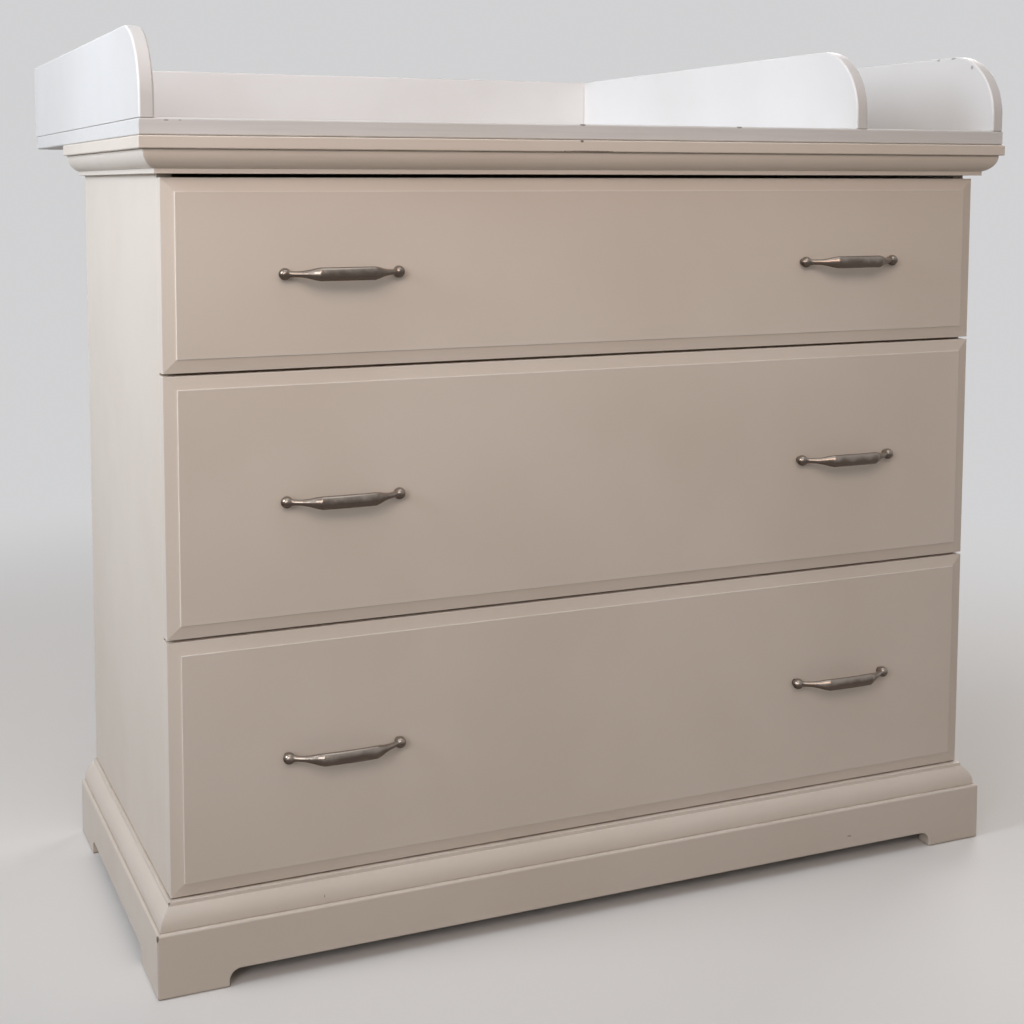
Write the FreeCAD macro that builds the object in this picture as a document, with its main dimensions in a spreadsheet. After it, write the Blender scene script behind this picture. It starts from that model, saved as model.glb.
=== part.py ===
"""Changing dresser.

A three-drawer chest with a moulded crown and a moulded plinth on bracket
feet, and an open changing top with a side bay screwed on above it.
Millimetres. +Z is up, the drawers face -Y and +X is on the viewer's right.
The origin is on the floor, under the middle of the whole object.
"""
import FreeCAD, Part
import math
import os
import Sketcher
from types import SimpleNamespace

Vector = FreeCAD.Vector
Placement = FreeCAD.Placement
Rotation = FreeCAD.Rotation

# ---------------------------------------------------------------- the sizes

SIZES = {
    # carcass
    "body_width": 1040,
    "body_depth": 432,
    "panel_thick": 16,
    "carcass_foot": 30,
    "back_thick": 4,
    "back_rebate": 6,
    "face_offset": 18,
    "rail_depth": 60,
    "rail_height": 18,
    "rail_setback": 2,
    "top_rail_depth": 40,
    "base_rail_thick": 18,
    # moulded crown under the dresser's top slab
    "slab_thick": 13,
    "slab_projection": 27,
    "slab_round": 1.5,
    "crown_height": 25,
    "crown_projection": 22,
    "crown_lip": 1,
    "crown_fillet_height": 5,
    "crown_fillet_projection": 8,
    # moulding on the plinth
    "base_moulding_height": 26.5,
    "base_moulding_projection": 15.5,
    "base_moulding_lip": 2,
    "base_ovolo_rise": 22,
    "base_ovolo_top": 5,
    "base_bead_projection": 4,
    # plinth boards with their bracket feet
    "plinth_height": 70,
    "plinth_thick": 20,
    "plinth_round": 3,
    "foot_length": 77.5,
    "side_foot_length": 86,
    "arch_height": 18.5,
    "arch_round": 12.5,
    "block_side": 45,
    # gaps round the drawer fronts
    "base_gap": 1.5,
    "drawer_gap": 3,
    "crown_gap": 4,
    # drawer fronts with a bevelled raised field
    "front_height_top": 202,
    "front_height_middle": 278,
    "front_height_bottom": 276,
    "front_edge_thick": 15.5,
    "bevel_width": 14.5,
    "bevel_rise": 2.2,
    "field_step": 1.3,
    # drawer boxes
    "box_rear_gap": 38,
    "box_rise": 14,
    "box_head_room": 46,
    "box_side_thick": 14,
    "box_back_thick": 14,
    "box_edge_round": 3,
    "box_bottom_thick": 5,
    "box_bottom_rise": 12,
    "groove_depth": 6,
    "groove_play": 0.2,
    # wooden runners in grooves of the drawer sides
    "runner_gap": 5.5,
    "runner_rise": 60,
    "runner_height": 18,
    "runner_play": 0.5,
    "runner_groove_depth": 8,
    "runner_start": 22,
    "runner_rear_gap": 18,
    "runner_nose": 5,
    "runner_screw_inset": 45,
    # bow handles
    "handle_spacing": 128,
    "handle_inset": 192.5,
    "handle_ball": 6.6,
    "handle_ball_height": 7,
    "handle_stem": 4.4,
    "handle_neck": 2.9,
    "handle_rise": 19,
    "handle_knee": 34,
    "handle_bow": 1.2,
    "grip_half_height": 7.3,
    "grip_half_depth": 4.6,
    "handle_bore_depth": 8,
    # screws
    "bolt_radius": 2,
    "bolt_play": 0.25,
    "bolt_head_radius": 4,
    "round_head_height": 2.6,
    "bolt_tip_play": 0.5,
    "screw_radius": 1.75,
    "screw_head_radius": 3.7,
    "screw_hole_play": 0.05,
    "runner_screw_length": 22,
    "bracket_screw_length": 15,
    "topper_screw_length": 40,
    "screw_end_play": 0.5,
    # changing top
    "board_thick": 18,
    "board_inset": 1.5,
    "board_front_inset": 3.5,
    "board_overhang": 238,
    "board_round": 2.5,
    "topper_height": 97,
    "topper_thick": 16,
    "topper_corner": 78,
    "topper_round": 2.5,
    "side_bay_width": 191.5,
    "topper_screw_inset": 120,
    # steel angles that hold the changing top to the carcass
    "bracket_leg": 40,
    "bracket_thick": 2,
    "bracket_width": 10,
    "bracket_bend": 3,
}

doc = FreeCAD.newDocument("changing_dresser")
sheet = doc.addObject("Spreadsheet::Sheet", "Sizes")
for row, (alias, number) in enumerate(SIZES.items(), start=1):
    sheet.set(f"A{row}", alias)
    sheet.set(f"B{row}", str(number))
    sheet.setAlias(f"B{row}", alias)
doc.recompute()


class Size:
    """A number, with the formula over the sheet's cells that gives it."""

    def __init__(self, formula, number):
        self.formula = formula
        self.number = number

    def __add__(self, other):
        other = as_size(other)
        return Size(f"({self.formula} + {other.formula})", self.number + other.number)

    def __sub__(self, other):
        other = as_size(other)
        return Size(f"({self.formula} - {other.formula})", self.number - other.number)

    def __mul__(self, other):
        other = as_size(other)
        return Size(f"({self.formula} * {other.formula})", self.number * other.number)

    def __truediv__(self, other):
        other = as_size(other)
        return Size(f"({self.formula} / {other.formula})", self.number / other.number)

    def __neg__(self):
        return Size(f"(0 - {self.formula})", -self.number)

    __radd__ = __add__
    __rmul__ = __mul__


def as_size(value):
    return value if isinstance(value, Size) else Size(f"({value})", value)


def larger(one, other):
    return Size(f"max({one.formula}; {other.formula})", max(one.number, other.number))


def root(size):
    return Size(f"sqrt({size.formula})", math.sqrt(size.number))


def slope_angle(rise, run):
    degrees = math.degrees(math.atan(rise.number / run.number))
    return Size(f"atan({rise.formula} / {run.formula})", degrees)


S = SimpleNamespace(**{alias: Size(f"Sizes.{alias}", number) for alias, number in SIZES.items()})
ZERO = as_size(0)

# widths and heights that several pieces share
half_body = S.body_width / 2
inner_half = half_body - S.panel_thick
base_top = S.plinth_height + S.base_moulding_height
bottom_front_low = base_top + S.base_gap
middle_front_low = bottom_front_low + S.front_height_bottom + S.drawer_gap
top_front_low = middle_front_low + S.front_height_middle + S.drawer_gap
crown_low = top_front_low + S.front_height_top + S.crown_gap
slab_low = crown_low + S.crown_height
board_low = slab_low + S.slab_thick
topper_low = board_low + S.board_thick

# depths, from the carcass's front edges: negative is nearer the viewer
moulding_face = -S.face_offset
back_inner = S.body_depth - S.back_thick
front_thick = S.front_edge_thick + S.bevel_rise + S.field_step
board_front = S.board_front_inset - S.face_offset - S.slab_projection
board_back = S.body_depth + S.board_overhang
topper_back_face = board_back + S.topper_thick
handle_reach = S.handle_ball_height + S.handle_rise + S.handle_bow + S.grip_half_depth
front_reach = larger(S.face_offset + S.slab_projection, front_thick + handle_reach)
front_plane = (front_reach - topper_back_face) / 2

# drawer boxes and their runners
box_half = inner_half - S.runner_gap
box_inner_half = box_half - S.box_side_thick
box_length = back_inner - S.box_rear_gap
runner_length = back_inner - S.runner_rear_gap - S.runner_start
handle_middle = half_body - S.handle_inset
runner_width = S.runner_gap + S.runner_groove_depth - S.runner_play
bolt_hole_radius = S.bolt_radius + S.bolt_play

DRAWERS = (
    ("top", top_front_low, S.front_height_top),
    ("middle", middle_front_low, S.front_height_middle),
    ("bottom", bottom_front_low, S.front_height_bottom),
)
LEFT_AND_RIGHT = (("left", -1), ("right", 1))
# two places this close together count as one when edges are chosen
SAME_PLACE = 0.1

parts = []

# ------------------------------------------------------------ small helpers


def bind(thing, name, size):
    thing.setExpression(name, size.formula)


def place(thing, x=ZERO, y=ZERO, z=ZERO):
    """Puts a piece at a place measured from the carcass's front edges and the floor."""
    deep = y + front_plane
    thing.Placement = Placement(Vector(x.number, deep.number, z.number), thing.Placement.Rotation)
    bind(thing, "Placement.Base.x", x)
    bind(thing, "Placement.Base.y", deep)
    bind(thing, "Placement.Base.z", z)


def sub_part(thing, label):
    thing.Label = label
    parts.append(thing)
    return thing


def new_body(label):
    return doc.addObject("PartDesign::Body", label)


def sketch_on(body, role, lift=ZERO):
    """An empty sketch on one of the body's own planes, lifted along its normal."""
    sketch = body.newObject("Sketcher::SketchObject", "profile")
    plane = next(item for item in body.Origin.OriginFeatures if item.Role == role)
    sketch.AttachmentSupport = [(plane, "")]
    sketch.MapMode = "FlatFace"
    sketch.AttachmentOffset = Placement(Vector(0, 0, lift.number), Rotation())
    bind(sketch, "AttachmentOffset.Base.z", lift)
    return sketch


def pin(sketch, edge, end, x=None, y=None):
    """Fixes a point of the sketch at its distances from the sketch's origin."""
    for kind, size in (("DistanceX", x), ("DistanceY", y)):
        if size is not None:
            rule = Sketcher.Constraint(kind, -1, 1, edge, end, size.number)
            index = sketch.addConstraint(rule)
            sketch.setExpression(f"Constraints[{index}]", size.formula)


def arc_edge(start, end, centre):
    """The short arc from start to end, and which of its ends is the start."""
    first = start - centre
    last = end - centre
    circle = Part.Circle(centre, Vector(0, 0, 1), first.Length)
    from_angle = math.atan2(first.y, first.x)
    to_angle = math.atan2(last.y, last.x)
    if first.cross(last).z > 0:
        return Part.ArcOfCircle(circle, from_angle, to_angle), 1
    return Part.ArcOfCircle(circle, to_angle, from_angle), 2


def outline(sketch, corners, arcs=None):
    """Closes a profile through its corners.

    arcs gives, for the edge that leaves a numbered corner, the centre it turns about.
    """
    corners = [(as_size(x), as_size(y)) for x, y in corners]
    arcs = arcs or {}
    count = len(corners)
    points = [Vector(x.number, y.number, 0) for x, y in corners]
    edges = []
    for index in range(count):
        start = points[index]
        end = points[(index + 1) % count]
        if index in arcs:
            centre = Vector(arcs[index][0].number, arcs[index][1].number, 0)
            shape, start_end = arc_edge(start, end, centre)
        else:
            shape, start_end = Part.LineSegment(start, end), 1
        edges.append((sketch.addGeometry(shape, False), start_end))
    for index, (edge, start_end) in enumerate(edges):
        before, before_start = edges[index - 1]
        rule = Sketcher.Constraint("Coincident", before, 3 - before_start, edge, start_end)
        sketch.addConstraint(rule)
        x, y = corners[index]
        ends_arc = (index - 1) % count in arcs
        if ends_arc:
            centre = arcs[(index - 1) % count]
            runs_along_x = abs(y.number - centre[1].number) > abs(x.number - centre[0].number)
            pin(sketch, edge, start_end, x if runs_along_x else None, None if runs_along_x else y)
        else:
            pin(sketch, edge, start_end, x, y)
        if index in arcs:
            pin(sketch, edge, 3, arcs[index][0], arcs[index][1])


def rectangle(sketch, low_x, low_y, high_x, high_y):
    outline(sketch, ((low_x, low_y), (high_x, low_y), (high_x, high_y), (low_x, high_y)))


def circles(sketch, centres, radius):
    for x, y in centres:
        shape = Part.Circle(Vector(x.number, y.number, 0), Vector(0, 0, 1), radius.number)
        edge = sketch.addGeometry(shape, False)
        pin(sketch, edge, 3, x, y)
        index = sketch.addConstraint(Sketcher.Constraint("Radius", edge, radius.number))
        sketch.setExpression(f"Constraints[{index}]", radius.formula)


def pad(body, sketch, length, against_normal=False):
    feature = body.newObject("PartDesign::Pad", "pad")
    feature.Profile = sketch
    bind(feature, "Length", length)
    feature.Reversed = against_normal
    return feature


def pocket(body, sketch, depth, along_normal=False):
    """Cuts a sketch into the body and makes sure that it did cut."""
    doc.recompute()
    before = body.Shape.Volume
    feature = body.newObject("PartDesign::Pocket", "pocket")
    feature.Profile = sketch
    bind(feature, "Length", depth)
    feature.Reversed = along_normal
    doc.recompute()
    if not body.Shape.Volume < before:
        raise RuntimeError(f"a pocket in {body.Label} cuts nothing")
    return feature


def countersunk_holes(body, sketch, along_normal=False):
    """Drills screw holes right through, each with a countersink at the sketch."""
    doc.recompute()
    before = body.Shape.Volume
    hole = body.newObject("PartDesign::Hole", "countersunk_holes")
    hole.Profile = sketch
    hole.DepthType = "ThroughAll"
    hole.Threaded = False
    hole.ThreadType = "None"
    bind(hole, "Diameter", (S.screw_radius + S.screw_hole_play) * 2)
    hole.HoleCutType = "Countersink"
    hole.HoleCutCustomValues = True
    bind(hole, "HoleCutDiameter", (S.screw_head_radius + S.screw_hole_play) * 2)
    hole.HoleCutCountersinkAngle = 90
    hole.Reversed = along_normal
    doc.recompute()
    if not body.Shape.Volume < before:
        raise RuntimeError(f"the holes in {body.Label} cut nothing")


def round_edges(body, radius, wanted):
    """Rounds those edges of the body for which wanted(edge) is true."""
    doc.recompute()
    base = body.Tip
    names = [f"Edge{number}" for number, edge in enumerate(base.Shape.Edges, start=1) if wanted(edge)]
    feature = body.newObject("PartDesign::Fillet", "round")
    feature.Base = (base, names)
    bind(feature, "Radius", radius)
    return feature


def middle_of(edge):
    return edge.valueAt((edge.FirstParameter + edge.LastParameter) / 2)


def near(one, other):
    return abs(one - other) < SAME_PLACE


def lies_level(edge):
    return edge.BoundBox.ZLength < SAME_PLACE


def board(label, low, high):
    """A plain board between two corners, given as (x, y, z)."""
    thing = doc.addObject("Part::Box", label)
    for name, first, last in zip(("Length", "Width", "Height"), low, high):
        bind(thing, name, last - first)
    place(thing, *low)
    return sub_part(thing, label)


def group(label, pieces):
    """Identical loose pieces that share one node."""
    thing = doc.addObject("Part::Compound", label)
    thing.Links = pieces
    return sub_part(thing, label)


# ----------------------------------------------------------------- carcass


def runner_heights():
    """Mid-heights of the runners above the floor."""
    return [low + S.box_rise + S.runner_rise for name, low, height in DRAWERS]


def runner_screw_places():
    first = S.runner_start + S.runner_screw_inset
    last = S.runner_start + runner_length - S.runner_screw_inset
    return (first, last)


def side_panel(label, side):
    body = new_body(label)
    outer = half_body * side
    inner = inner_half * side
    rebate = (inner_half + S.back_rebate) * side
    plan = sketch_on(body, "XY_Plane")
    outline(plan, (
        (outer, 0),
        (outer, S.body_depth),
        (rebate, S.body_depth),
        (rebate, back_inner),
        (inner, back_inner),
        (inner, 0),
    ))
    pad(body, plan, slab_low - S.carcass_foot)
    pilots = sketch_on(body, "YZ_Plane", inner)
    centres = [(y, z - S.carcass_foot) for y in runner_screw_places() for z in runner_heights()]
    circles(pilots, centres, S.screw_radius + S.screw_hole_play)
    depth = S.runner_screw_length + S.screw_end_play - runner_width
    pocket(body, pilots, depth, along_normal=side > 0)
    rear = sketch_on(body, "XZ_Plane", -S.body_depth)
    circles(rear, [(bracket_middle(side), bracket_screw_height() - S.carcass_foot)],
            S.screw_radius + S.screw_hole_play)
    rear_depth = S.bracket_screw_length + S.screw_end_play - S.bracket_thick
    pocket(body, rear, rear_depth, along_normal=True)
    place(body, z=S.carcass_foot)
    return sub_part(body, label)


def carcass_boards():
    panel_low = base_top - S.panel_thick
    top_rail_end = back_inner - S.top_rail_depth
    rebated_half = inner_half + S.back_rebate - S.groove_play
    board("bottom_panel", (-inner_half, ZERO, panel_low), (inner_half, back_inner, base_top))
    board("back_panel", (-rebated_half, back_inner, panel_low), (rebated_half, S.body_depth, slab_low))
    board("top_rail_front", (-inner_half, ZERO, crown_low), (inner_half, S.top_rail_depth, slab_low))
    board("top_rail_back", (-inner_half, top_rail_end, crown_low), (inner_half, back_inner, slab_low))
    board("base_rail_back", (-inner_half, back_inner - S.base_rail_thick, S.carcass_foot),
          (inner_half, back_inner, panel_low))
    board("base_rail_front", (-half_body, moulding_face, S.carcass_foot),
          (half_body, ZERO, base_top))
    for label, front_low in (("rail_upper", top_front_low), ("rail_lower", middle_front_low)):
        middle = front_low - S.drawer_gap / 2
        low = middle - S.rail_height / 2
        high = middle + S.rail_height / 2
        board(label, (-inner_half, S.rail_setback, low),
              (inner_half, S.rail_setback + S.rail_depth, high))


def corner_blocks():
    """Glue blocks behind the feet, which carry the side panels' lower ends."""
    blocks = []
    for name, side in LEFT_AND_RIGHT:
        low_x = -half_body if side < 0 else half_body - S.block_side
        for end, low_y in (("front", moulding_face), ("rear", S.body_depth - S.block_side)):
            block = doc.addObject("Part::Box", f"block_{end}_{name}")
            bind(block, "Length", S.block_side)
            bind(block, "Width", S.block_side)
            bind(block, "Height", S.carcass_foot)
            place(block, low_x, low_y, ZERO)
            blocks.append(block)
    group("corner_blocks", blocks)


def dresser_top():
    body = new_body("dresser_top")
    reach = half_body + S.slab_projection
    plan = sketch_on(body, "XY_Plane")
    rectangle(plan, -reach, moulding_face - S.slab_projection, reach, S.body_depth)
    pad(body, plan, S.slab_thick)
    round_edges(body, S.slab_round, lambda edge: (
        lies_level(edge) and not near(middle_of(edge).y, S.body_depth.number)))
    place(body, z=slab_low)
    sub_part(body, "dresser_top")


# ------------------------------------------- mouldings, mitred at the corners


def crown_profile(back):
    """Corners and arc of the crown: its fillet below, then the swelling ovolo."""
    reach = S.crown_projection
    ovolo_top = S.crown_height - S.crown_lip
    deep = reach - S.crown_fillet_projection
    tall = ovolo_top - S.crown_fillet_height
    radius = (deep * deep + tall * tall) / (deep * 2)
    corners = (
        (back, ZERO),
        (S.crown_fillet_projection, ZERO),
        (S.crown_fillet_projection, S.crown_fillet_height),
        (reach, ovolo_top),
        (reach, S.crown_height),
        (back, S.crown_height),
    )
    return corners, {2: (reach - radius, ovolo_top)}


def base_profile():
    """Corners and arc of the moulding on the plinth: an ovolo under a small bead."""
    reach = S.base_moulding_projection
    deep = reach - S.base_ovolo_top
    tall = S.base_ovolo_rise - S.base_moulding_lip
    radius = (deep * deep + tall * tall) / (deep * 2)
    corners = (
        (ZERO, ZERO),
        (reach, ZERO),
        (reach, S.base_moulding_lip),
        (S.base_ovolo_top, S.base_ovolo_rise),
        (S.base_bead_projection, S.base_ovolo_rise),
        (S.base_bead_projection, S.base_moulding_height),
        (ZERO, S.base_moulding_height),
    )
    return corners, {2: (reach - radius, S.base_moulding_lip)}


def mitre_both_ends(body, reach, height):
    """Cuts a front piece to 45 degrees at its two outer corners."""
    for side in (-1, 1):
        plan = sketch_on(body, "XY_Plane")
        outline(plan, (
            ((half_body + reach) * side, moulding_face - reach),
            (half_body * side, moulding_face),
            (half_body * side, S.panel_thick),
            ((half_body + reach) * side, S.panel_thick),
        ))
        pocket(body, plan, height, along_normal=True)


def mitre_front_end(body, side, reach, height):
    """Cuts a side piece to 45 degrees where it meets the front one."""
    plan = sketch_on(body, "XY_Plane")
    outline(plan, (
        (reach * side, moulding_face - reach),
        (ZERO, moulding_face),
        (ZERO, moulding_face - reach),
    ))
    pocket(body, plan, height, along_normal=True)


def front_moulding(label, profile, reach, height, low):
    body = new_body(label)
    corners, arcs = profile
    section = sketch_on(body, "YZ_Plane", -half_body - reach)
    outline(section, [(moulding_face - out, up) for out, up in corners],
            {edge: (moulding_face - out, up) for edge, (out, up) in arcs.items()})
    pad(body, section, (half_body + reach) * 2)
    mitre_both_ends(body, reach, height)
    place(body, z=low)
    return sub_part(body, label)


def side_moulding(label, side, profile, reach, height, low):
    body = new_body(label)
    corners, arcs = profile
    section = sketch_on(body, "XZ_Plane", reach - moulding_face)
    outline(section, [(out * side, up) for out, up in corners],
            {edge: (out * side, up) for edge, (out, up) in arcs.items()})
    pad(body, section, S.body_depth - moulding_face + reach, against_normal=True)
    mitre_front_end(body, side, reach, height)
    place(body, half_body * side, ZERO, low)
    return sub_part(body, label)


def mouldings():
    front_moulding("crown_front", crown_profile(moulding_face), S.crown_projection,
                   S.crown_height, crown_low)
    front_moulding("base_moulding_front", base_profile(), S.base_moulding_projection,
                   S.base_moulding_height, S.plinth_height)
    for name, side in LEFT_AND_RIGHT:
        side_moulding(f"crown_{name}", side, crown_profile(ZERO), S.crown_projection,
                      S.crown_height, crown_low)
        side_moulding(f"base_moulding_{name}", side, base_profile(),
                      S.base_moulding_projection, S.base_moulding_height, S.plinth_height)


# ------------------------------------------------------------------ plinth


def bracket_foot_outline(low, high, low_foot, high_foot):
    """A plinth board seen square on, with a round-cornered arch between its feet."""
    arch_low = low + low_foot
    arch_high = high - high_foot
    spring = S.arch_height - S.arch_round
    corners = (
        (low, ZERO),
        (arch_low, ZERO),
        (arch_low, spring),
        (arch_low + S.arch_round, S.arch_height),
        (arch_high - S.arch_round, S.arch_height),
        (arch_high, spring),
        (arch_high, ZERO),
        (high, ZERO),
        (high, S.plinth_height),
        (low, S.plinth_height),
    )
    arcs = {2: (arch_low + S.arch_round, spring), 4: (arch_high - S.arch_round, spring)}
    return corners, arcs


def plinth_front():
    body = new_body("plinth_front")
    reach = half_body + S.plinth_thick
    face = sketch_on(body, "XZ_Plane", S.face_offset)
    outline(face, *bracket_foot_outline(-reach, reach, S.foot_length, S.foot_length))
    pad(body, face, S.plinth_thick)
    mitre_both_ends(body, S.plinth_thick, S.plinth_height)
    outer = (moulding_face - S.plinth_thick).number
    round_edges(body, S.plinth_round, lambda edge: (
        near(middle_of(edge).y, outer) and near(middle_of(edge).z, S.plinth_height.number)))
    place(body)
    sub_part(body, "plinth_front")


def plinth_side(label, side):
    body = new_body(label)
    face = sketch_on(body, "YZ_Plane")
    low = moulding_face - S.plinth_thick
    outline(face, *bracket_foot_outline(low, S.body_depth, S.side_foot_length, S.foot_length))
    pad(body, face, S.plinth_thick, against_normal=side < 0)
    mitre_front_end(body, side, S.plinth_thick, S.plinth_height)
    outer = S.plinth_thick.number * side
    round_edges(body, S.plinth_round, lambda edge: (
        near(middle_of(edge).x, outer) and near(middle_of(edge).z, S.plinth_height.number)))
    place(body, half_body * side)
    sub_part(body, label)


# ----------------------------------------------------------- drawer runners


def runner(label, side, middle_height):
    """A hardwood rail with a rounded nose, screwed to the side panel."""
    body = new_body(label)
    flank = sketch_on(body, "YZ_Plane")
    half = S.runner_height / 2
    nose = S.runner_nose
    outline(flank, (
        (nose, -half),
        (runner_length, -half),
        (runner_length, half),
        (nose, half),
        (ZERO, half - nose),
        (ZERO, nose - half),
    ), {3: (nose, half - nose), 5: (nose, nose - half)})
    pad(body, flank, runner_width, against_normal=side > 0)
    drills = sketch_on(body, "YZ_Plane", runner_width * -side)
    centres = [(y - S.runner_start, ZERO) for y in runner_screw_places()]
    circles(drills, centres, S.screw_radius + S.screw_hole_play)
    countersunk_holes(body, drills, along_normal=side > 0)
    place(body, inner_half * side, S.runner_start, middle_height)
    return sub_part(body, label)


# ------------------------------------------------------------------ screws


def countersunk_screw(label, length):
    """A countersunk screw along +Z, its flat head at z = 0 and its shank above."""
    body = new_body(label)
    half = sketch_on(body, "XZ_Plane")
    cone = S.screw_head_radius - S.screw_radius
    outline(half, (
        (ZERO, ZERO),
        (S.screw_head_radius, ZERO),
        (S.screw_radius, cone),
        (S.screw_radius, length),
        (ZERO, length),
    ))
    turned(body, half)
    return body


def round_head_screw(label, shank_radius, head_radius, length):
    """A screw along +Z: the flat-topped head below z = 0, the shank above."""
    body = new_body(label)
    half = sketch_on(body, "XZ_Plane")
    outline(half, (
        (ZERO, -S.round_head_height),
        (head_radius, -S.round_head_height),
        (head_radius, ZERO),
        (shank_radius, ZERO),
        (shank_radius, length),
        (ZERO, length),
    ))
    turned(body, half)
    return body


def turned(body, sketch):
    feature = body.newObject("PartDesign::Revolution", "turned")
    feature.Profile = sketch
    feature.ReferenceAxis = (sketch, ["V_Axis"])
    feature.Angle = 360
    doc.recompute()
    return feature


def copies_of(original, label, places, pointing):
    """Links to one screw, each at a place, its shank pointing one way."""
    turn = Rotation(Vector(0, 0, 1), pointing)
    links = []
    for number, (x, y, z) in enumerate(places, start=1):
        link = doc.addObject("App::Link", f"{label}_{number}")
        link.LinkedObject = original
        link.LinkTransform = False
        link.Placement = Placement(Vector(), turn)
        place(link, x, y, z)
        links.append(link)
    return links


# ------------------------------------------------------------- changing top


def topper_half():
    """Half the width over the changing top's board and side boards."""
    return half_body + S.slab_projection - S.board_inset


def panel_middles():
    """Middle planes of the left side, the divider and the right side."""
    edge = topper_half() - S.topper_thick / 2
    return (-edge, edge - S.side_bay_width - S.topper_thick, edge)


def topper_screw_rows():
    return (board_front + S.topper_screw_inset, board_back - S.topper_screw_inset)


def bracket_middle(side):
    """The middle of what the rebate leaves of a side panel's rear edge."""
    return (half_body - (S.panel_thick - S.back_rebate) / 2) * side


def bracket_screw_height():
    return board_low - S.bracket_leg * 3 / 4


def bracket_screw_depth():
    return S.body_depth + S.bracket_leg * 3 / 4


def changing_board():
    body = new_body("changing_board")
    half = topper_half()
    plan = sketch_on(body, "XY_Plane")
    rectangle(plan, -half, board_front, half, board_back)
    pad(body, plan, S.board_thick)
    drills = sketch_on(body, "XY_Plane")
    hole = S.screw_radius + S.screw_hole_play
    circles(drills, [(x, y) for x in panel_middles() for y in topper_screw_rows()], hole)
    countersunk_holes(body, drills, along_normal=True)
    blind = sketch_on(body, "XY_Plane")
    circles(blind, [(bracket_middle(side), bracket_screw_depth()) for side in (-1, 1)], hole)
    depth = S.bracket_screw_length + S.screw_end_play - S.bracket_thick
    pocket(body, blind, depth, along_normal=True)
    round_edges(body, S.board_round, lambda edge: lies_level(edge) and (
        near(abs(middle_of(edge).x), half.number) or near(middle_of(edge).y, board_front.number)))
    place(body, z=board_low)
    sub_part(body, "changing_board")


def topper_panel(label, middle, back):
    """An upright board on edge, with one large round corner at the front."""
    body = new_body(label)
    flank = sketch_on(body, "YZ_Plane", -S.topper_thick / 2)
    corner = S.topper_corner
    tall = S.topper_height
    outline(flank, (
        (board_front, ZERO),
        (board_front, tall - corner),
        (board_front + corner, tall),
        (back, tall),
        (back, ZERO),
    ), {1: (board_front + corner, tall - corner)})
    pad(body, flank, S.topper_thick)
    drills = sketch_on(body, "XY_Plane")
    hole = S.screw_radius + S.screw_hole_play
    circles(drills, [(ZERO, y) for y in topper_screw_rows()], hole)
    depth = S.topper_screw_length + S.screw_end_play - S.board_thick
    pocket(body, drills, depth, along_normal=True)
    half_thick = S.topper_thick.number / 2
    round_edges(body, S.topper_round, lambda edge: (
        near(abs(middle_of(edge).x), half_thick) and not near(middle_of(edge).z, 0)
        and not near(middle_of(edge).y, back.number)))
    place(body, middle, ZERO, topper_low)
    sub_part(body, label)


def topper_back():
    body = new_body("topper_back")
    half = topper_half() - S.topper_thick
    face = sketch_on(body, "XZ_Plane", -board_back)
    tall = S.board_thick + S.topper_height
    rectangle(face, -half, ZERO, half, tall)
    pad(body, face, S.topper_thick, against_normal=True)
    round_edges(body, S.topper_round, lambda edge: (
        near(middle_of(edge).z, tall.number) and edge.BoundBox.XLength > half.number))
    place(body, z=board_low)
    sub_part(body, "topper_back")


def fixing_bracket(label, side):
    """A bent steel angle behind the carcass, under the overhanging board."""
    body = new_body(label)
    section = sketch_on(body, "YZ_Plane", -S.bracket_width / 2)
    bend = S.bracket_bend
    thick = S.bracket_thick
    leg = S.bracket_leg
    outline(section, (
        (ZERO, -leg),
        (thick, -leg),
        (thick, -thick - bend),
        (thick + bend, -thick),
        (leg, -thick),
        (leg, ZERO),
        (thick + bend, ZERO),
        (ZERO, -thick - bend),
    ), {2: (thick + bend, -thick - bend), 6: (thick + bend, -thick - bend)})
    pad(body, section, S.bracket_width)
    hole = S.screw_radius + S.screw_hole_play
    upper = sketch_on(body, "XY_Plane", -thick)
    circles(upper, [(ZERO, leg * 3 / 4)], hole)
    pocket(body, upper, thick, along_normal=True)
    rear = sketch_on(body, "XZ_Plane", -thick)
    circles(rear, [(ZERO, leg * -3 / 4)], hole)
    pocket(body, rear, thick, along_normal=True)
    place(body, bracket_middle(side), S.body_depth, board_low)
    return body


# ------------------------------------------------------------------ drawers


def drawer_front(label, low, height):
    """A board with a bevel sloping up on all sides to a flat raised field."""
    body = new_body(label)
    edge_plan = sketch_on(body, "XZ_Plane")
    rectangle(edge_plan, -half_body, ZERO, half_body, height)
    pad(body, edge_plan, S.front_edge_thick)
    bevel = S.bevel_width
    inner_corners = (-half_body + bevel, bevel, half_body - bevel, height - bevel)
    bevel_foot = sketch_on(body, "XZ_Plane", S.front_edge_thick)
    rectangle(bevel_foot, -half_body, ZERO, half_body, height)
    bevel_head = sketch_on(body, "XZ_Plane", S.front_edge_thick + S.bevel_rise)
    rectangle(bevel_head, *inner_corners)
    slope = body.newObject("PartDesign::AdditiveLoft", "bevel")
    slope.Profile = bevel_foot
    slope.Sections = [bevel_head]
    slope.Ruled = True
    field = sketch_on(body, "XZ_Plane", S.front_edge_thick + S.bevel_rise)
    rectangle(field, *inner_corners)
    pad(body, field, S.field_step)
    bolts = sketch_on(body, "XZ_Plane")
    circles(bolts, bolt_places(height / 2), bolt_hole_radius)
    pocket(body, bolts, front_thick, along_normal=True)
    slot = sketch_on(body, "XZ_Plane")
    slot_half = box_inner_half + S.groove_depth
    slot_low = S.box_rise + S.box_bottom_rise
    rectangle(slot, -slot_half, slot_low, slot_half, slot_low + S.box_bottom_thick + S.groove_play)
    pocket(body, slot, S.groove_depth, along_normal=True)
    place(body, z=low)
    return sub_part(body, label)


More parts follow.
